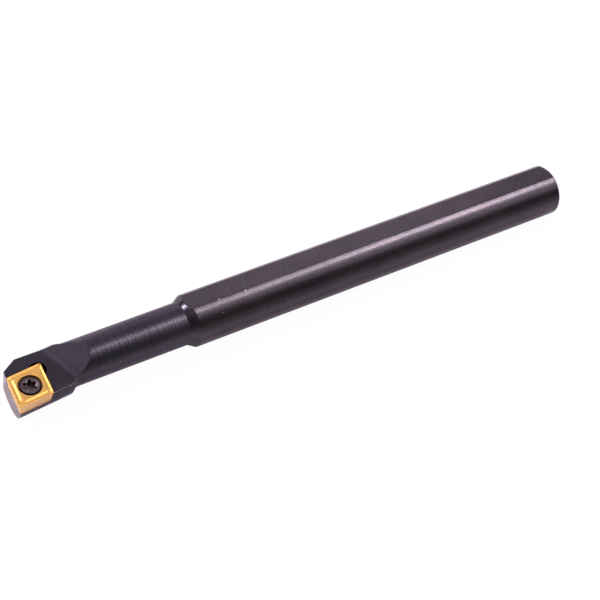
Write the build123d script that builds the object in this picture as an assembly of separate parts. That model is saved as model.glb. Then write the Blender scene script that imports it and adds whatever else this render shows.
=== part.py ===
from build123d import *
from math import cos, radians, sin, tan
import os

# Right-hand boring bar for a lathe: a turned steel bar, a clamped carbide insert and its screw.
# Millimetres. The origin is the centre of the shank's end face. The bar lies along X with its
# nose at -X, -Y is the side that cuts and +Z is the side that the insert and the top flat face.

# --- bar, measured back from the nose --------------------------------------------------------
overall_length = 114.3
shank_diameter = 9.525
across_flats = 8.64
shank_end_chamfer = 0.5
nose_to_shank = 34.65
shank_shoulder_length = 1.5
neck_diameter = 7.74

# --- head: a taper turned off the bar's axis, towards the cutting side -----------------------
head_length = 10.4
head_shoulder_length = 1.05
head_back_step = 0.55
head_flare = 0.44
head_front_offset = 0.75
head_front_drop = 0.10
head_back_offset = 0.36
head_back_drop = 0.03
head_shoulder_rounding = 1.2
neck_root_rounding = 1.2
front_face_setback = 0.13
front_face_relief = 2.4
corner_chamfer_point = (2.24, 2.79, 1.95)
corner_chamfer_normal = (-0.52, 0.82, 0.23)
corner_rounding = 0.6

# --- insert: 80 degree rhombus ---------------------------------------------------------------
insert_circle = 6.35
insert_angle = 80.0
insert_thickness = 2.38
insert_relief = 7.0
insert_nose_radius = 0.4
insert_bore = 2.8
insert_seat_mouth = 3.7
insert_mouth = 4.16
insert_mouth_depth = 0.4
groove_land = 0.10
groove_depth = 0.14
groove_outer_slope = 65.0
groove_inner_slope = 72.0
groove_width = 0.85

# --- seat of the insert in the head ----------------------------------------------------------
nose_offset = 5.98
nose_height = 0.56
seat_tilt = 12.25
edge_relief = 5.0
seat_gap = 0.05
corner_relief_radius = 1.6
corner_relief_reach = 0.35
gullet_drop = 0.5
gullet_rounding = 3.0
ramp_start = 8.09
ramp_climb = 32.2
ramp_skew = 36.3

# --- clamp screw -----------------------------------------------------------------------------
screw_diameter = 2.5
screw_length = 6.0
screw_head_diameter = 3.6
screw_head_sink = 0.10
screw_cone_half_angle = 30.0
screw_tip_chamfer = 0.25
screw_clearance = 0.02
thread_clearance = 0.03
socket_diameter = 2.4
socket_waist = 1.74
socket_depth = 1.05
socket_lobe_rounding = 0.10
socket_mouth_diameter = 2.64
socket_mouth_depth = 0.35
socket_turn = 10.0

# --- worked out from the above ---------------------------------------------------------------
nose_x = -overall_length
nose = Vector(nose_x, -nose_offset, nose_height)
shank_radius = shank_diameter / 2
neck_radius = neck_diameter / 2
head_back_radius = neck_radius + head_back_step
head_front_radius = head_back_radius + head_flare
insert_edge = insert_circle / sin(radians(insert_angle))
BLOCK = 6 * shank_diameter


def from_nose(x, y, z):
    """Point given by its distance back from the nose."""
    return Vector(nose_x + x, y, z)


def cross_section(x, radius, offset=0, drop=0):
    """Round section across the bar, off its axis by offset towards the cutting side."""
    plane = Plane(origin=from_nose(x, -offset, -drop), x_dir=(0, 1, 0), z_dir=(1, 0, 0))
    return plane * Circle(radius)


def half_space(plane):
    """Block that fills the plane's positive side near the head."""
    return extrude(plane * Rectangle(BLOCK, BLOCK), BLOCK)


def seat_plane():
    """Insert's top face: origin at its sharp nose, X along the side edge, Z up the screw."""
    tilt = radians(seat_tilt)
    yaw = radians(edge_relief)
    side = (cos(yaw), sin(yaw) * cos(tilt), sin(yaw) * sin(tilt))
    normal = (0, -sin(tilt), cos(tilt))
    return Plane(origin=nose, x_dir=side, z_dir=normal)


def rhombus(front=0, side=0, back=0):
    """Insert outline, grown past its front and side edges and past its two seated edges."""
    lean = radians(insert_angle)
    slant = tan(lean)
    low = -side
    high = insert_circle + back
    push_front = front / sin(lean)
    push_back = back / sin(lean)
    corners = [
        (low / slant - push_front, low),
        (low / slant + insert_edge + push_back, low),
        (high / slant + insert_edge + push_back, high),
        (high / slant - push_front, high),
    ]
    return Polygon(*corners, align=None)


def insert_centre():
    """Centre of the rhombus in the seat plane, where the screw goes."""
    lean = radians(insert_angle)
    return (insert_edge * (1 + cos(lean)) / 2, insert_edge * sin(lean) / 2)


# --- bar body --------------------------------------------------------------------------------
def turned_bar():
    """Shank, shoulder and neck, turned about the bar's axis."""
    back = -shank_end_chamfer
    shank_x = nose_x + nose_to_shank
    neck_x = shank_x - shank_shoulder_length
    front = nose_x + head_length
    profile = Polyline(
        (front, 0),
        (front, neck_radius),
        (neck_x, neck_radius),
        (shank_x, shank_radius),
        (back, shank_radius),
        (0, shank_radius - shank_end_chamfer),
        (0, 0),
        close=True,
    )
    bar = revolve(make_face(profile), axis=Axis.X)
    flat_length = nose_to_shank - head_length - 2 * shank_shoulder_length
    start = shank_x - shank_shoulder_length - flat_length / 2
    span = -start
    for side in (1, -1):
        flat = Box(span, shank_diameter, shank_diameter)
        height = side * (across_flats + shank_diameter) / 2
        bar -= Pos(start + span / 2, 0, height) * flat
    return bar


def turned_head():
    """Tapered head off the bar's axis, with the shoulder that runs down to the neck."""
    back = cross_section(head_length, head_back_radius, head_back_offset, head_back_drop)
    front = cross_section(0, head_front_radius, head_front_offset, head_front_drop)
    end = cross_section(head_length + head_shoulder_length, neck_radius)
    head = loft([front, back], ruled=True) + loft([back, end], ruled=True)
    on_rim = from_nose(head_length, head_back_radius - head_back_offset, -head_back_drop)
    rim = head.edges().filter_by(GeomType.CIRCLE).sort_by_distance(on_rim)[0]
    return fillet(rim, head_shoulder_rounding)


def rounded_root(bar):
    """Rounds the corner where the head's shoulder runs out on the neck."""
    on_root = from_nose(head_length + head_shoulder_length, 0, neck_radius)
    root = bar.edges().sort_by_distance(on_root)[0]
    return fillet(root, neck_root_rounding)


def gullet():
    """Chip space: above a floor along the insert's top, and ahead of a skewed ramp."""
    seat = seat_plane()
    normal = seat.z_dir
    floor = Plane(origin=nose - normal * gullet_drop, x_dir=seat.x_dir, z_dir=normal)
    ramp_normal = (-1, -tan(radians(ramp_skew)), 1 / tan(radians(ramp_climb)))
    ramp_point = from_nose(ramp_start, 0, 0)
    ramp = Plane(origin=ramp_point, z_dir=ramp_normal)
    space = half_space(floor) & half_space(ramp)
    height = (floor.origin.Y * normal.Y + floor.origin.Z * normal.Z) / normal.Z
    crease_x = ramp_start + height / tan(radians(ramp_climb))
    crease = space.edges().sort_by_distance(from_nose(crease_x, 0, height))[0]
    return fillet(crease, gullet_rounding)


def pocket():
    """Seat of the insert, open to the front and the cutting side, with its corner relief."""
    seat = seat_plane()
    open_side = insert_circle / 2
    outline = rhombus(front=open_side, side=open_side, back=seat_gap)
    space = extrude(outline, insert_thickness, dir=(0, 0, -1), taper=insert_relief)
    lean = radians(insert_angle)
    reach = corner_relief_reach - corner_relief_radius
    centre_x = insert_edge * (1 + cos(lean)) + reach * cos(lean / 2)
    centre_y = insert_edge * sin(lean) + reach * sin(lean / 2)
    relief = Pos(centre_x, centre_y) * Circle(corner_relief_radius)
    relief = extrude(relief, insert_thickness, dir=(0, 0, -1))
    return seat * (space + relief)


def screw_hole():
    """Hole for the clamp screw, from the seat down through the head."""
    radius = screw_diameter / 2 + thread_clearance
    hole = Pos(*insert_centre()) * Cylinder(radius, 4 * insert_thickness)
    return seat_plane() * (Pos(0, 0, -insert_thickness) * hole)


def front_face():
    """What is cut away ahead of the head, in line with the insert's front edge."""
    yaw = radians(edge_relief)
    relief = radians(front_face_relief)
    normal = (-cos(yaw) * cos(relief), sin(yaw) * cos(relief), -sin(relief))
    origin = nose + Vector(front_face_setback, 0, 0)
    return half_space(Plane(origin=origin, z_dir=normal))


def corner_chamfer():
    """What is cut off the head's front corner on the side away from the nose."""
    return half_space(Plane(origin=from_nose(*corner_chamfer_point), z_dir=corner_chamfer_normal))


def rounded_corner(bar):
    """Rounds the straight edge that the front face and the corner chamfer share."""
    straight = bar.edges().filter_by(GeomType.LINE)
    shared = straight.sort_by_distance(from_nose(*corner_chamfer_point))[0]
    return fillet(shared, corner_rounding)


def make_bar():
    bar = rounded_root(turned_bar() + turned_head())
    bar -= front_face()
    bar -= corner_chamfer()
    bar = rounded_corner(bar)
    bar -= gullet()
    bar -= pocket()
    bar -= screw_hole()
    return bar


# --- insert ----------------------------------------------------------------------------------
def chip_groove():
    """Moulded trough inside the edges, round a raised middle."""
    top = rhombus(front=-groove_land, side=-groove_land, back=-groove_land)
    trough = extrude(top, groove_depth, dir=(0, 0, -1), taper=groove_outer_slope)
    inset = groove_land + groove_width
    middle = rhombus(front=-inset, side=-inset, back=-inset)
    island = extrude(middle, groove_depth, dir=(0, 0, -1), taper=-groove_inner_slope)
    return trough - island


def screw_seat():
    """Bore with the cone that the screw's head pulls down on, open to a wider mouth."""
    bore = insert_bore / 2
    seat_top = insert_seat_mouth / 2
    seat_drop = (seat_top - bore) / tan(radians(screw_cone_half_angle))
    below = -insert_thickness - insert_nose_radius
    above = insert_nose_radius
    profile = Polyline(
        (0, above),
        (insert_mouth / 2, above),
        (insert_mouth / 2, 0),
        (seat_top, -insert_mouth_depth),
        (bore, -insert_mouth_depth - seat_drop),
        (bore, below),
        (0, below),
        close=True,
    )
    return revolve(Plane.XZ * make_face(profile), axis=Axis.Z)


def make_insert():
    outline = rhombus()
    outline = fillet(outline.vertices(), insert_nose_radius)
    blank = extrude(outline, insert_thickness, dir=(0, 0, -1), taper=insert_relief)
    insert = blank - chip_groove() - Pos(*insert_centre()) * screw_seat()
    return seat_plane() * insert


# --- clamp screw -----------------------------------------------------------------------------
def lobed_socket():
    """Six-lobed key recess."""
    outer = socket_diameter / 2
    waist = socket_waist / 2
    bite = outer * 0.27
    star = Circle(outer)
    for step in range(6):
        turn = socket_turn + 30 + 60 * step
        star -= Rot(0, 0, turn) * Pos(waist + bite, 0) * Circle(bite)
    star = fillet(star.vertices(), socket_lobe_rounding)
    recess = extrude(star, socket_depth, dir=(0, 0, -1))
    mouth = Cone(0, socket_mouth_diameter / 2, socket_mouth_depth)
    return recess + Pos(0, 0, -socket_mouth_depth / 2) * mouth


def make_screw():
    """Turned screw: rim, cone on the insert's seat, and stem into the head."""
    slope = tan(radians(screw_cone_half_angle))
    slack = screw_clearance / cos(radians(screw_cone_half_angle))
    head = screw_head_diameter / 2
    stem = screw_diameter / 2
    seat_top = insert_seat_mouth / 2 - slack
    rim_low = -insert_mouth_depth - (seat_top - head) / slope
    cone_low = -insert_mouth_depth - (seat_top - stem) / slope
    top = -screw_head_sink
    tip = top - screw_length
    profile = Polyline(
        (0, top),
        (head, top),
        (head, rim_low),
        (stem, cone_low),
        (stem, tip + screw_tip_chamfer),
        (stem - screw_tip_chamfer, tip),
        (0, tip),
        close=True,
    )
    screw = revolve(Plane.XZ * make_face(profile), axis=Axis.Z)
    screw -= Pos(0, 0, top) * lobed_socket()
    return seat_plane() * (Pos(*insert_centre()) * screw)


os.makedirs("parts", exist_ok=True)
export_step(make_bar(), "parts/bar_body.step")
export_step(make_insert(), "parts/cutting_insert.step")
export_step(make_screw(), "parts/clamp_screw.step")
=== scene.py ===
import bmesh
import bpy
from math import atan2, cos, radians, sin, tan
from mathutils import Matrix, Vector


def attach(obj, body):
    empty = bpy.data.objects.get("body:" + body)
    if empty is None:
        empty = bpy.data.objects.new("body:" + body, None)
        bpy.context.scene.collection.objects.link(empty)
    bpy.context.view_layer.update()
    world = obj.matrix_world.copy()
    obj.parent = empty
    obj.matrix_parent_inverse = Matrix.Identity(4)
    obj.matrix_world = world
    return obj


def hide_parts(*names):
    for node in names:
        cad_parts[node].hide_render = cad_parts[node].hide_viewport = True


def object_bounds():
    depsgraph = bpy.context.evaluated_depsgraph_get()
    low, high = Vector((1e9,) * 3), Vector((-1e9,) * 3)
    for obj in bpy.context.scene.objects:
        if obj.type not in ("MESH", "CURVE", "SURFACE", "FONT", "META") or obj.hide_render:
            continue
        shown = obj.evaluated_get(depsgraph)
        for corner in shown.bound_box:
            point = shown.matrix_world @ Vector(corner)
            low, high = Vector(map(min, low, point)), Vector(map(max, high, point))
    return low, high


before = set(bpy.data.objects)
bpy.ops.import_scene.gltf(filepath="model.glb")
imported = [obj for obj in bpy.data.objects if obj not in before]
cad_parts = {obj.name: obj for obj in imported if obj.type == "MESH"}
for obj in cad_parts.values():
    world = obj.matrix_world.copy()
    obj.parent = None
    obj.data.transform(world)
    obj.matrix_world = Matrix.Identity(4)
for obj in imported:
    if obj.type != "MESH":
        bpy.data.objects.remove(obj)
cad_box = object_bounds()


# ---------------------------------------------------------------------------------------------
# Bar body
# One piece of tool steel, turned on a lathe, then milled for the flats, the chip gullet and the
# insert's pocket, and blackened. The shank is ground smooth and the neck keeps its turning marks.
# ---------------------------------------------------------------------------------------------
BODY_CREASE = radians(18)
MERGE_WITHIN = 2e-6

# Where the zones of the finish meet along the bar, in metres from the shank's end.
HEAD_END = -0.1026
HEAD_BLEND = 0.0008
CONE_FRONT = -0.0812
CONE_BLEND = 0.0002
SHANK_FRONT = -0.0797
SHANK_BLEND = 0.0012

# Planes as a point and a normal: the ground front face, and the scratch over the top flat.
FRONT_FACE = ((-0.11417, -0.00598, 0.00056), (-0.9953, 0.0871, -0.0419))
FRONT_FACE_DEPTH = 0.00003
SCRATCH = ((-0.06777, 0.00189, 0.00432), (0.9296, -0.3686, 0.0))
SCRATCH_HALF_WIDTH = 0.00003
SCRATCH_LOWEST = 0.0039

# Nicks where the shank begins, as a point and a radius.
NICKS = (((-0.07464, -0.00197, 0.00432), 0.00010), ((-0.07484, -0.00386, 0.00280), 0.00010),
         ((-0.07173, -0.00012, 0.00432), 0.00005), ((-0.07197, -0.00153, 0.00432), 0.00005),
         ((-0.06934, -0.00212, 0.00430), 0.00009))

HEAD_TONES = ((0.047, 0.039, 0.054), (0.060, 0.050, 0.068))
SHANK_TONES = ((0.055, 0.045, 0.055), (0.065, 0.051, 0.062))
FRONT_FACE_TONE = (0.260, 0.205, 0.235, 1)
# Lighter steel for the head's near edges, partly wear and partly painted highlight.
WEAR_AND_GLINT_TONE = (0.21, 0.18, 0.21, 1)
SCRATCH_TONE = (0.115, 0.105, 0.115, 1)
NICK_TONE = (0.5, 0.48, 0.5, 1)
STEEL_TINT = (0.90, 0.80, 0.90, 1)

# Noises as a scale and a detail, and how far each one lightens and darkens the steel.
NOISE_SPAN = (0.3, 0.7)
CLOUD = (140.0, 3.0)
SWELL = (260.0, 1.0)
SWELL_CONTRAST = 0.06
GRAIN = (4200.0, 2.0)
GRAIN_CONTRAST = 0.28
TURNING = (1900.0, 1.5)
TURNING_CONTRAST = 0.10
TURNED_FROM_RADIUS = 0.00383

# Relief of the turning marks, and the shares of it on the ground cone and in the grain.
MARK_DEPTH = 0.00008
MARK_STRENGTH = 0.8
CONE_MARK_SHARE = 0.01
GRAIN_SHARE = 0.014

EDGE_ROUNDING = 0.00012
BEVEL_SAMPLES = {"samples": 8}
# How strongly the near edges take the wear and painted highlight, and the side that they are kept
# to.
WEAR_AND_GLINT_GAIN = 7.0
GLINT_SIDE = -0.0022

NECK_ROUGHNESS = 0.37
CONE_ROUGHNESS = 0.22
SHANK_ADDED_ROUGHNESS = 0.07
FRONT_FACE_ROUGHNESS = 0.25


def new_piece(name, made):
    """Object at the origin from a finished bmesh."""
    mesh = bpy.data.meshes.new(name)
    made.to_mesh(mesh)
    made.free()
    piece = bpy.data.objects.new(name, mesh)
    bpy.context.scene.collection.objects.link(piece)
    return piece


def shade_smooth(made, crease):
    """Smooth shading, broken at the edges that turn by more than the crease angle."""
    for face in made.faces:
        face.smooth = True
    for edge in made.edges:
        edge.smooth = len(edge.link_faces) == 2 and edge.calc_face_angle() < crease


def smooth_copy(node, name, crease):
    """Copy of a CAD node with its loose triangles joined up and shaded smooth."""
    made = bmesh.new()
    made.from_mesh(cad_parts[node].data)
    bmesh.ops.remove_doubles(made, verts=made.verts, dist=MERGE_WITHIN)
    shade_smooth(made, crease)
    return new_piece(name, made)


def new_material(name):
    """Material with only its Principled shader and output, ready for its own nodes."""
    material = bpy.data.materials.new(name)
    material.use_nodes = True
    return material, material.node_tree, material.node_tree.nodes["Principled BSDF"]


def add(tree, kind, settings=None, **inputs):
    """Node of one kind, with its settings, and its inputs set to values or linked to sockets."""
    node = tree.nodes.new(kind)
    for key, value in (settings or {}).items():
        setattr(node, key, value)
    for key, value in inputs.items():
        key = int(key[1:]) if key[0] == "i" and key[1:].isdigit() else key.replace("_", " ")
        if isinstance(value, bpy.types.NodeSocket):
            tree.links.new(value, node.inputs[key])
        else:
            node.inputs[key].default_value = value
    return node


def object_place(tree):
    """Place on the piece, in metres."""
    return add(tree, "ShaderNodeTexCoord").outputs["Object"]


def noise(tree, place, scale, detail):
    """Even noise through the solid piece, mostly within its span."""
    return add(tree, "ShaderNodeTexNoise", Vector=place, Scale=scale, Detail=detail).outputs["Fac"]


def toned(tree, factor, dark, light):
    """Colour that goes from a dark tone to a light one with a noise."""
    node = add(tree, "ShaderNodeValToRGB", Fac=factor)
    for stop, position, tone in zip(node.color_ramp.elements, NOISE_SPAN, (dark, light)):
        stop.position = position
        stop.color = (*tone, 1)
    return node.outputs["Color"]


def number(tree, operation, *values, clamp=False):
    """Math node."""
    inputs = {"i%d" % i: value for i, value in enumerate(values)}
    node = add(tree, "ShaderNodeMath", {"operation": operation, "use_clamp": clamp}, **inputs)
    return node.outputs[0]


def measure(tree, operation, first, second=(0, 0, 0)):
    """Length, distance or dot product of vectors."""
    node = add(tree, "ShaderNodeVectorMath", {"operation": operation}, i0=first, i1=second)
    return node.outputs["Value"]


def rescaled(tree, value, low, high, start, end):
    """Value mapped from the span low to high onto start to end, clamped."""
    node = add(tree, "ShaderNodeMapRange", Value=value, From_Min=low, From_Max=high,
               To_Min=start, To_Max=end)
    return node.outputs["Result"]


def unevenness(tree, factor, middle, contrast):
    """Number that a noise moves up and down from its middle by the contrast."""
    return rescaled(tree, factor, *NOISE_SPAN, middle - contrast, middle + contrast)


def mixed(tree, share, first, second):
    """Blend of two colours."""
    return add(tree, "ShaderNodeMix", {"data_type": "RGBA"}, Factor=share, i6=first,
               i7=second).outputs[2]


def blended(tree, share, first, second):
    """Blend of two numbers."""
    return add(tree, "ShaderNodeMix", Factor=share, i2=first, i3=second).outputs[0]


def past_plane(tree, place, point, normal):
    """Distance in front of a plane, negative behind it."""
    away = add(tree, "ShaderNodeVectorMath", {"operation": "SUBTRACT"}, i0=place, i1=point)
    return measure(tree, "DOT_PRODUCT", away.outputs[0], normal)


def blackened_steel():
    """Blackened steel: turned neck, ground shank and cone, bare front face, and a lighter near rim
    that is partly wear and partly painted highlight.
    """
    material, tree, shader = new_material("blackened_steel")
    place = object_place(tree)
    axes = add(tree, "ShaderNodeSeparateXYZ", Vector=place).outputs
    is_shank = rescaled(tree, axes["X"], SHANK_FRONT - SHANK_BLEND, SHANK_FRONT, 0.0, 1.0)
    is_cone = rescaled(tree, axes["X"], CONE_FRONT, CONE_FRONT + CONE_BLEND, 0.0, 1.0)
    is_head = rescaled(tree, axes["X"], HEAD_END - HEAD_BLEND, HEAD_END, 1.0, 0.0)
    ahead = past_plane(tree, place, *FRONT_FACE)
    is_front = number(tree, "GREATER_THAN", ahead, -FRONT_FACE_DEPTH)

    cloud = noise(tree, place, *CLOUD)
    tone = mixed(tree, is_shank, toned(tree, cloud, *HEAD_TONES), toned(tree, cloud, *SHANK_TONES))

    # Turning marks run round the neck; the cone and the shank are ground and finely grained.
    scale, detail = TURNING
    marks = add(tree, "ShaderNodeTexNoise", {"noise_dimensions": "1D"}, W=axes["X"],
                Scale=scale, Detail=detail, Roughness=0.6).outputs["Fac"]
    across = add(tree, "ShaderNodeVectorMath", {"operation": "MULTIPLY"}, i0=place,
                 i1=(0, 1, 1)).outputs[0]
    radius = measure(tree, "LENGTH", across)
    on_neck = number(tree, "GREATER_THAN", radius, TURNED_FROM_RADIUS)
    marks = number(tree, "MULTIPLY", marks, on_neck)
    grain = noise(tree, place, *GRAIN)
    ground = number(tree, "ADD", unevenness(tree, noise(tree, place, *SWELL), 0, SWELL_CONTRAST),
                    unevenness(tree, grain, 1, GRAIN_CONTRAST))
    uneven = blended(tree, is_cone, unevenness(tree, marks, 1, TURNING_CONTRAST), ground)
    tone = add(tree, "ShaderNodeVectorMath", {"operation": "SCALE"}, i0=tone, Scale=uneven)
    tone = mixed(tree, is_front, tone.outputs[0], FRONT_FACE_TONE)

    # Lighter steel on the sharp edges of the head's near side: partly blackening rubbed off there,
    # partly a painted highlight for the glint along the gullet's near rim, so it is kept to that
    # side.
    soft_edge = add(tree, "ShaderNodeBevel", BEVEL_SAMPLES, Radius=EDGE_ROUNDING).outputs["Normal"]
    sharp = add(tree, "ShaderNodeNewGeometry").outputs["Normal"]
    turn_away = number(tree, "SUBTRACT", 1.0, measure(tree, "DOT_PRODUCT", soft_edge, sharp))
    wear_and_glint = number(tree, "MULTIPLY", turn_away, WEAR_AND_GLINT_GAIN, clamp=True)
    near_rim = number(tree, "LESS_THAN", axes["Y"], GLINT_SIDE)
    wear_and_glint = number(tree, "MULTIPLY", wear_and_glint, number(tree, "MULTIPLY", is_head, near_rim))
    tone = mixed(tree, wear_and_glint, tone, WEAR_AND_GLINT_TONE)

    line = number(tree, "ABSOLUTE", past_plane(tree, place, *SCRATCH))
    scratched = number(tree, "LESS_THAN", line, SCRATCH_HALF_WIDTH)
    on_top = number(tree, "GREATER_THAN", axes["Z"], SCRATCH_LOWEST)
    tone = mixed(tree, number(tree, "MULTIPLY", scratched, on_top), tone, SCRATCH_TONE)
    for nick, radius in NICKS:
        nicked = number(tree, "LESS_THAN", measure(tree, "DISTANCE", place, nick), radius)
        tone = mixed(tree, nicked, tone, NICK_TONE)
    tree.links.new(tone, shader.inputs["Base Color"])

    depth = rescaled(tree, is_cone, 0.0, 1.0, 1.0, CONE_MARK_SHARE)
    height = number(tree, "ADD", number(tree, "MULTIPLY", marks, depth),
                    number(tree, "MULTIPLY", grain, GRAIN_SHARE))
    bump = add(tree, "ShaderNodeBump", Strength=MARK_STRENGTH, Distance=MARK_DEPTH,
               Height=height, Normal=soft_edge)
    tree.links.new(bump.outputs["Normal"], shader.inputs["Normal"])

    haze = rescaled(tree, is_cone, 0.0, 1.0, NECK_ROUGHNESS, CONE_ROUGHNESS)
    haze = number(tree, "ADD", haze, number(tree, "MULTIPLY", is_shank, SHANK_ADDED_ROUGHNESS))
    haze = blended(tree, is_front, haze, FRONT_FACE_ROUGHNESS)
    tree.links.new(haze, shader.inputs["Roughness"])
    shader.inputs["Metallic"].default_value = 1.0
    shader.inputs["Specular Tint"].default_value = STEEL_TINT
    return material


bar = smooth_copy("bar_body", "bar_steel", BODY_CREASE)
bar.data.materials.append(blackened_steel())
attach(bar, "root")
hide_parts("bar_body")


# ---------------------------------------------------------------------------------------------
# Cutting insert
# Pressed and sintered carbide with a moulded chip groove round a raised middle, ground on its
# flanks and coated gold. It sits in the pocket and the screw pulls it into the corner.
# ---------------------------------------------------------------------------------------------
INSERT_NOSE = Vector((-0.1143, -0.00598, 0.00056))
SEAT_TILT = radians(12.25)
EDGE_YAW = radians(5)
NOSE_ANGLE = radians(80)
INSERT_HALF = 0.003175
INSERT_THICK = 0.00238
CORNER_RADIUS = 0.0004
CORNER_GROWTH = 0.35
FLANK_RELIEF = radians(7)
HONE = 0.00005
LAND = 0.00010
GROOVE_DEPTH = 0.00014
GROOVE_FLOOR = (0.00040, 0.00050)
GROOVE_END = 0.00098
MOUTH_RADIUS = 0.00208
MOUTH_DEPTH = 0.0004
MOUTH_EDGE = 0.000015
SEAT_RADIUS = 0.00185
BORE_RADIUS = 0.0014
BORE_DEPTH = 0.00118
SIDE_STEPS = 14
CORNER_STEPS = 8
SLOPE_STEPS = 7
MILLIMETRES = 1000.0
INSERT_CREASE = radians(32)

# The three finishes, in the order of their material slots: name, dark and light tone, metallic
# and roughness. The gold top; a lighter gold on the flanks that face out, as painted light;
# and a dark brown in the bore and on the flanks inside the pocket, as painted shade.
TOP, PAINTED_LIGHT_FLANK, PAINTED_SHADE = range(3)
INSERT_FINISHES = (("gold_top", (0.66, 0.338, 0.088), (0.74, 0.400, 0.118), 0.8, 0.42),
                   ("gold_flank_painted_light", (0.78, 0.42, 0.19), (0.84, 0.48, 0.23), 0.4, 0.5),
                   ("brown_painted_shade", (0.17, 0.085, 0.035), (0.22, 0.12, 0.05), 0.5, 0.5))
COATING_CLOUD = (500.0, 4.0)
COATING_GRAIN = (9000.0, 3.0)
COATING_GRAIN_DEPTH = 0.000008
COATING_GRAIN_STRENGTH = 0.25

along_side = Vector((1, 0))
along_front = Vector((cos(NOSE_ANGLE), sin(NOSE_ANGLE)))
insert_middle = (along_side + along_front) * INSERT_HALF / sin(NOSE_ANGLE)


def insert_axes():
    """Matrix from the insert's own axes (sharp nose, side edge along X, top up) to the bar's."""
    top = Vector((0, -sin(SEAT_TILT), cos(SEAT_TILT)))
    side = Vector((cos(EDGE_YAW), sin(EDGE_YAW) * cos(SEAT_TILT), sin(EDGE_YAW) * sin(SEAT_TILT)))
    turn = Matrix((side, top.cross(side), top)).transposed()
    return Matrix.Translation(INSERT_NOSE) @ turn.to_4x4()


def rhombus_ring(inset, radius, height):
    """Points of a rounded rhombus that lies inset from the insert's edges."""
    reach = (INSERT_HALF - inset) / sin(NOSE_ANGLE)
    corners = [(along_side * u + along_front * v) * reach
               for u, v in ((-1, -1), (1, -1), (1, 1), (-1, 1))]
    points = []
    for i, corner in enumerate(corners):
        following = corners[(i + 1) % 4]
        before = (corners[i - 1] - corner).normalized()
        after = (following - corner).normalized()
        half = before.angle(after) / 2
        middle = corner + (before + after).normalized() * radius / sin(half)
        start = corner + before * radius / tan(half) - middle
        sweep = radians(180) - 2 * half
        for step in range(CORNER_STEPS + 1):
            points.append(middle + Matrix.Rotation(sweep * step / CORNER_STEPS, 2) @ start)
        leave = points[-1]
        arrive = following - after * radius * tan(half)
        for step in range(1, SIDE_STEPS):
            points.append(leave.lerp(arrive, step / SIDE_STEPS))
    return [(*(insert_middle + point), height) for point in points]


def round_ring(radius, height):
    """Points of a circle round the screw hole, each in line with its point on the edge."""
    ring = []
    for x, y, _ in rhombus_ring(0, CORNER_RADIUS, 0):
        out = (Vector((x, y)) - insert_middle).normalized() * radius
        ring.append((*(insert_middle + out), height))
    return ring


def slope_rings(start, end, top, bottom):
    """Rings down or up one side of the chip groove, on a soft S-shaped slope."""
    rings = []
    for step in range(SLOPE_STEPS + 1):
        share = step / SLOPE_STEPS
        inset = start + (end - start) * share
        height = top + (bottom - top) * share * share * (3 - 2 * share)
        rings.append(rhombus_ring(inset, CORNER_RADIUS + inset * CORNER_GROWTH, height))
    return rings


def insert_rings():
    """Rings up the flank, over the top face and down the bore, with the slot that each begins."""
    flank = []
    for height in (-INSERT_THICK, -INSERT_THICK + HONE, -3 * HONE, -HONE):
        inset = -height * tan(FLANK_RELIEF)
        flank.append(rhombus_ring(inset, CORNER_RADIUS - inset, height))
    top = [flank.pop()]
    for turn in (radians(30), radians(60), radians(90)):
        top.append(rhombus_ring(HONE * (1 - cos(turn)), CORNER_RADIUS, HONE * (sin(turn) - 1)))
    top += slope_rings(LAND, GROOVE_FLOOR[0], 0, -GROOVE_DEPTH)
    top += slope_rings(GROOVE_FLOOR[1], GROOVE_END, -GROOVE_DEPTH, 0)
    top += [round_ring(MOUTH_RADIUS + HONE, 0), round_ring(MOUTH_RADIUS + MOUTH_EDGE, -MOUTH_EDGE)]
    bore = [round_ring(MOUTH_RADIUS, -HONE), round_ring(MOUTH_RADIUS, -MOUTH_DEPTH),
            round_ring(SEAT_RADIUS, -MOUTH_DEPTH), round_ring(BORE_RADIUS, -BORE_DEPTH),
            round_ring(BORE_RADIUS, -INSERT_THICK)]
    return [(slot, ring) for slot, rings in ((PAINTED_LIGHT_FLANK, flank), (TOP, top), (PAINTED_SHADE, bore))
            for ring in rings]


def bridge_rings(made, rings):
    """Bridge each ring of points to the next, and the last to the first, in the ring's slot.

    It works in millimetres, because the operator twists rings less than 0.00005 apart.
    """
    loops = []
    for _, ring in rings:
        verts = [made.verts.new(Vector(point) * MILLIMETRES) for point in ring]
        loops.append([made.edges.new(ends) for ends in zip(verts, verts[1:] + verts[:1])])
    for (slot, _), loop, following in zip(rings, loops, loops[1:] + loops[:1]):
        for face in bmesh.ops.bridge_loops(made, edges=loop + following)["faces"]:
            face.material_index = slot
    bmesh.ops.scale(made, vec=[1 / MILLIMETRES] * 3, verts=made.verts)


def gold_coating(name, dark, light, metallic, roughness):
    """Gold coating over pressed carbide, a little uneven in tone and very finely grained; with the
    flank and bore tones it paints light and shade.
    """
    material, tree, shader = new_material(name)
    place = object_place(tree)
    tone = toned(tree, noise(tree, place, *COATING_CLOUD), dark, light)
    tree.links.new(tone, shader.inputs["Base Color"])
    bump = add(tree, "ShaderNodeBump", Strength=COATING_GRAIN_STRENGTH,
               Distance=COATING_GRAIN_DEPTH, Height=noise(tree, place, *COATING_GRAIN))
    tree.links.new(bump.outputs["Normal"], shader.inputs["Normal"])
    shader.inputs["Metallic"].default_value = metallic
    shader.inputs["Roughness"].default_value = roughness
    return material


made = bmesh.new()
bridge_rings(made, insert_rings())
into_pocket = (along_side + along_front).to_3d()
pocket_from = insert_middle.to_3d().dot(into_pocket)
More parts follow.
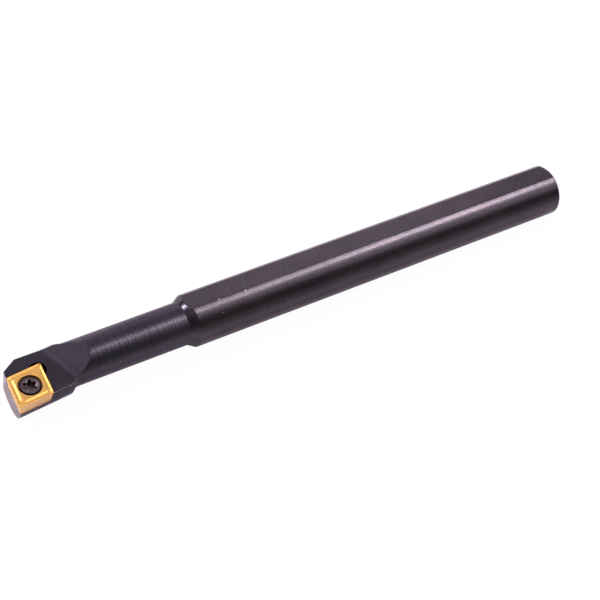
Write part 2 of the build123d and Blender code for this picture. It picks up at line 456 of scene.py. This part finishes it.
# Flanks that face into the pocket take the painted shade as well.
for face in made.faces:
    in_pocket = face.calc_center_median().dot(into_pocket) > pocket_from
    if in_pocket and face.material_index == PAINTED_LIGHT_FLANK:
        face.material_index = PAINTED_SHADE
insert_place = insert_axes()
bmesh.ops.transform(made, matrix=insert_place, verts=made.verts)
bmesh.ops.recalc_face_normals(made, faces=made.faces)
shade_smooth(made, INSERT_CREASE)
insert = new_piece("insert_carbide", made)
for finish in INSERT_FINISHES:
    insert.data.materials.append(gold_coating(*finish))
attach(insert, "root")
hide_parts("cutting_insert")


# ---------------------------------------------------------------------------------------------
# Clamp screw
# A small countersunk steel screw with a six-lobe recess, blackened. Its cone bears on the
# insert's bore and its thread goes into the tapped hole in the head.
# ---------------------------------------------------------------------------------------------
SCREW_CREASE = radians(25)
THREAD_RADIUS = 0.00125
THREAD_PITCH = 0.00045
THREAD_DEPTH = 0.00024
GROOVE_SLOPE = 2.3
PITCH_STEPS = 8
RADIUS_SLACK = 5e-6
HEAD_RIM = 0.00170
HEAD_RIM_WIDTH = 0.00012
HEAD_EDGE_ROUNDING = 0.00010
SCREW_CLOUD = (900.0, 3.0)
SCREW_TONES = ((0.135, 0.100, 0.112), (0.180, 0.130, 0.145))
SCREW_RIM_SHADE_TONE = (0.020, 0.009, 0.005, 1)
SCREW_ROUGHNESS = 0.26


def cut_thread(piece, place):
    """Cut a helical thread into the screw's plain shank, fading out towards both of its ends."""
    own = place.inverted()
    made = bmesh.new()
    made.from_mesh(piece.data)
    ends = {vert for vert in made.verts
            if abs((own @ vert.co).xy.length - THREAD_RADIUS) < RADIUS_SLACK}
    edges = [edge for edge in made.edges if ends.issuperset(edge.verts)]
    diagonals = [edge for edge in edges if edge.calc_face_angle() < radians(1)]
    upright = [edge for edge in edges
               if edge not in diagonals and edge.calc_length() > THREAD_PITCH]
    bmesh.ops.dissolve_edges(made, edges=diagonals)

    length = upright[0].calc_length()
    lowest = min((own @ vert.co).z for vert in ends)
    steps = round(length / THREAD_PITCH * PITCH_STEPS)
    turns = steps / PITCH_STEPS
    cut = bmesh.ops.subdivide_edges(made, edges=upright, cuts=steps - 1)["geom_inner"]
    for vert in (item for item in cut if isinstance(item, bmesh.types.BMVert)):
        point = own @ vert.co
        turns_up = (point.z - lowest) / length * turns
        fade = min(1.0, turns_up, turns - turns_up)
        share = (point.z / THREAD_PITCH - atan2(point.y, point.x) / radians(360)) % 1.0
        groove = max(0.0, 1.0 - abs(share - 0.5) * GROOVE_SLOPE)
        point.xy *= 1.0 - THREAD_DEPTH / THREAD_RADIUS * fade * groove
        vert.co = place @ point
    made.to_mesh(piece.data)
    made.free()


def screw_finish(head_middle):
    """Blackened screw steel, with a painted shade round the head's rim, where it sits down in the
    insert's mouth.
    """
    material, tree, shader = new_material("screw_steel")
    place = object_place(tree)
    tone = toned(tree, noise(tree, place, *SCREW_CLOUD), *SCREW_TONES)
    # Painted shade: the head's rim turns near black.
    reach = measure(tree, "DISTANCE", place, head_middle)
    rim = rescaled(tree, reach, HEAD_RIM - HEAD_RIM_WIDTH, HEAD_RIM, 0.0, 1.0)
    tree.links.new(mixed(tree, rim, tone, SCREW_RIM_SHADE_TONE), shader.inputs["Base Color"])
    soft_edge = add(tree, "ShaderNodeBevel", BEVEL_SAMPLES, Radius=HEAD_EDGE_ROUNDING)
    tree.links.new(soft_edge.outputs["Normal"], shader.inputs["Normal"])
    shader.inputs["Metallic"].default_value = 1.0
    shader.inputs["Roughness"].default_value = SCREW_ROUGHNESS
    return material


screw = smooth_copy("clamp_screw", "screw_black", SCREW_CREASE)
screw_place = insert_place @ Matrix.Translation((*insert_middle, 0))
cut_thread(screw, screw_place)
screw.data.materials.append(screw_finish(screw_place.translation))
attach(screw, "root")
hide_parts("clamp_screw")


# ---------------------------------------------------------------------------------------------
# Stage
# A plain white paper sheet that the bar lies on, soft rectangular lamps on every side with a
# faint even room light, and the camera, which looks down along the bar from its head.
# ---------------------------------------------------------------------------------------------
SHEET_HALF = 3.0
SHEET_TONE = (0.90, 0.90, 0.90, 1)
SHEET_ROUGHNESS = 0.9
SEEN_WHITE = 0.97
MIRRORED_WHITE = 0.15

# In mirror rays the sheet takes a painted shade between these two distances on the bar's near
# side.
MIRROR_SHADE_FROM = -0.012
MIRROR_SHADE_TO = -0.022
MIRROR_SHADE_SHARE = 0.55

BAR_MIDDLE = Vector((-0.06, 0, 0))
ROOM_LIGHT = 0.2
CAMERA_LENS = 101.73
CAMERA_PLACE = (-0.190931, -0.192262, 0.193471)
CAMERA_RIGHT = (0.84144, -0.53805, 0.04981)
CAMERA_UP = (0.31616, 0.56498, 0.76213)
CAMERA_BACK = (-0.43820, -0.62554, 0.64551)


def white_sheet():
    """White paper that is plain white to the camera and takes the bar's shadow, with a painted
    shade in mirror rays on the bar's near side.
    """
    material, tree, shader = new_material("white_sheet")
    shader.inputs["Base Color"].default_value = SHEET_TONE
    shader.inputs["Roughness"].default_value = SHEET_ROUGHNESS
    shader.inputs["Specular IOR Level"].default_value = 0.0
    ray = add(tree, "ShaderNodeLightPath").outputs
    mirrored = number(tree, "MAXIMUM", ray["Is Glossy Ray"], ray["Is Transmission Ray"])
    mirrored = number(tree, "MULTIPLY", mirrored, MIRRORED_WHITE)
    seen = number(tree, "MULTIPLY", ray["Is Camera Ray"], SEEN_WHITE)
    white = add(tree, "ShaderNodeEmission", Color=(1, 1, 1, 1), Strength=1.0)
    paper = add(tree, "ShaderNodeMixShader", i0=number(tree, "MAXIMUM", seen, mirrored),
                i1=shader.outputs[0], i2=white.outputs[0])

    # Painted shade, seen only in mirror rays, that darkens the sheet on the bar's near side.
    across = add(tree, "ShaderNodeSeparateXYZ", Vector=object_place(tree)).outputs["Y"]
    mirror_shade = rescaled(tree, across, MIRROR_SHADE_FROM, MIRROR_SHADE_TO, 0.0, MIRROR_SHADE_SHARE)
    mirror_shade = number(tree, "MULTIPLY", mirror_shade, ray["Is Glossy Ray"])
    dark = add(tree, "ShaderNodeEmission", Color=(0, 0, 0, 1), Strength=0.0)
    paper = add(tree, "ShaderNodeMixShader", i0=mirror_shade, i1=paper.outputs[0], i2=dark.outputs[0])
    tree.links.new(paper.outputs[0], tree.nodes["Material Output"].inputs["Surface"])
    return material


made = bmesh.new()
bmesh.ops.create_grid(made, x_segments=1, y_segments=1, size=SHEET_HALF)
bmesh.ops.translate(made, verts=made.verts, vec=(0, 0, cad_box[0][2]))
sheet = new_piece("sheet", made)
sheet.data.materials.append(white_sheet())


def soft_lamp(name, place, width, depth, power):
    """Rectangular lamp that faces the middle of the bar, its width along the bar."""
    data = bpy.data.lights.new(name, "AREA")
    data.shape = "RECTANGLE"
    data.size = width
    data.size_y = depth
    data.energy = power
    lamp = bpy.data.objects.new(name, data)
    away = (Vector(place) - BAR_MIDDLE).normalized()
    across = away.cross(Vector((1, 0, 0))).normalized()
    turn = Matrix((across.cross(away), across, away)).transposed()
    lamp.matrix_world = Matrix.Translation(place) @ turn.to_4x4()
    lamp.visible_camera = False
    bpy.context.scene.collection.objects.link(lamp)


# Each lamp's name, place, width along the bar, depth across it, and power in watts.
soft_lamp("key", (0.190, -0.112, 0.292), 0.12, 0.03, 0.40)
soft_lamp("key_front", (0.060, -0.114, 0.292), 0.20, 0.03, 0.34)
soft_lamp("front_overhead", (-0.240, 0.165, 0.272), 0.10, 0.07, 0.65)
soft_lamp("overhead_small", (-0.13, 0.108, 0.335), 0.10, 0.10, 0.08)
soft_lamp("overhead", (-0.03, 0.02, 0.36), 0.40, 0.40, 0.13)
soft_lamp("back_right", (0.186, 0.246, 0.093), 0.20, 0.12, 0.30)
soft_lamp("back_left", (-0.06, 0.348, 0.093), 0.20, 0.12, 0.20)
soft_lamp("back_high", (0.082, 0.246, 0.222), 0.20, 0.15, 0.11)
soft_lamp("near_right", (0.166, -0.190, 0.206), 0.20, 0.15, 0.13)
soft_lamp("near_high", (0.017, -0.191, 0.295), 0.15, 0.15, 0.06)
soft_lamp("front", (-0.371, -0.027, 0.180), 0.20, 0.15, 0.27)

world = bpy.data.worlds.new("room")
world.use_nodes = True
room = world.node_tree.nodes["Background"].inputs
room["Color"].default_value = (1, 1, 1, 1)
room["Strength"].default_value = ROOM_LIGHT

scene = bpy.context.scene
scene.world = world
scene.view_settings.view_transform = "Standard"

camera_data = bpy.data.cameras.new("camera")
camera_data.sensor_fit = "HORIZONTAL"
camera_data.sensor_width = 36.0
camera_data.lens = CAMERA_LENS
camera = bpy.data.objects.new("camera", camera_data)
camera_turn = Matrix((CAMERA_RIGHT, CAMERA_UP, CAMERA_BACK)).transposed()
camera.matrix_world = Matrix.Translation(CAMERA_PLACE) @ camera_turn.to_4x4()
scene.collection.objects.link(camera)
scene.camera = camera
